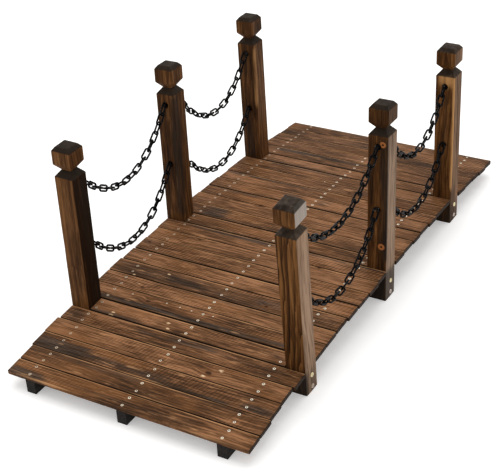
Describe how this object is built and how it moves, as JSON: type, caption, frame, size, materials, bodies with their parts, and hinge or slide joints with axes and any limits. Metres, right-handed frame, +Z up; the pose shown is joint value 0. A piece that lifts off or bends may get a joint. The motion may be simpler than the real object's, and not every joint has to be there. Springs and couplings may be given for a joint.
{
  "type": "garden bridge",
  "caption": "Low arched timber garden bridge: cross boards on flat-bottomed joists, square posts with grooved cube tops, and hanging chain rails.",
  "frame": {"origin": "centre of the bounding box's footprint, on the ground", "axes": "+X along the deck from the near end to the far end, +Y to the left across the deck, +Z up"},
  "size_m": [1.4876, 0.6859, 0.5469],
  "materials": {
    "deck_wood": "scorched fir, fine sawn, warm brown with charcoal streaks",
    "post_wood": "scorched fir, planed",
    "joist_wood": "near-black charred fir",
    "chain_steel": "black, half gloss"
  },
  "bodies": {
    "root": {"joist_left": "joist_wood", "joist_middle": "joist_wood", "joist_right": "joist_wood", "deck_board_01": "deck_wood", "deck_board_02": "deck_wood", "deck_board_03": "deck_wood", "deck_board_04": "deck_wood", "deck_board_05": "deck_wood", "deck_board_06": "deck_wood", "deck_board_07": "deck_wood", "deck_board_08": "deck_wood", "deck_board_09": "deck_wood", "deck_board_10": "deck_wood", "deck_board_11": "deck_wood", "deck_board_12": "deck_wood", "deck_board_13": "deck_wood", "deck_board_14": "deck_wood", "deck_board_15": "deck_wood", "deck_board_16": "deck_wood", "deck_board_17": "deck_wood", "deck_board_18": "deck_wood", "deck_board_19": "deck_wood", "deck_board_20": "deck_wood", "deck_board_21": "deck_wood", "deck_board_22": "deck_wood", "deck_board_23": "deck_wood", "deck_board_24": "deck_wood", "deck_board_25": "deck_wood", "deck_board_26": "deck_wood", "deck_board_27": "deck_wood", "post_near_left": "post_wood", "post_near_right": "post_wood", "post_middle_left": "post_wood", "post_middle_right": "post_wood", "post_far_left": "post_wood", "post_far_right": "post_wood", "chain_near_left_upper": "chain_steel", "chain_near_left_lower": "chain_steel", "chain_near_right_upper": "chain_steel", "chain_near_right_lower": "chain_steel", "chain_far_left_upper": "chain_steel", "chain_far_left_lower": "chain_steel", "chain_far_right_upper": "chain_steel", "chain_far_right_lower": "chain_steel"}
  },
  "joints": []
}
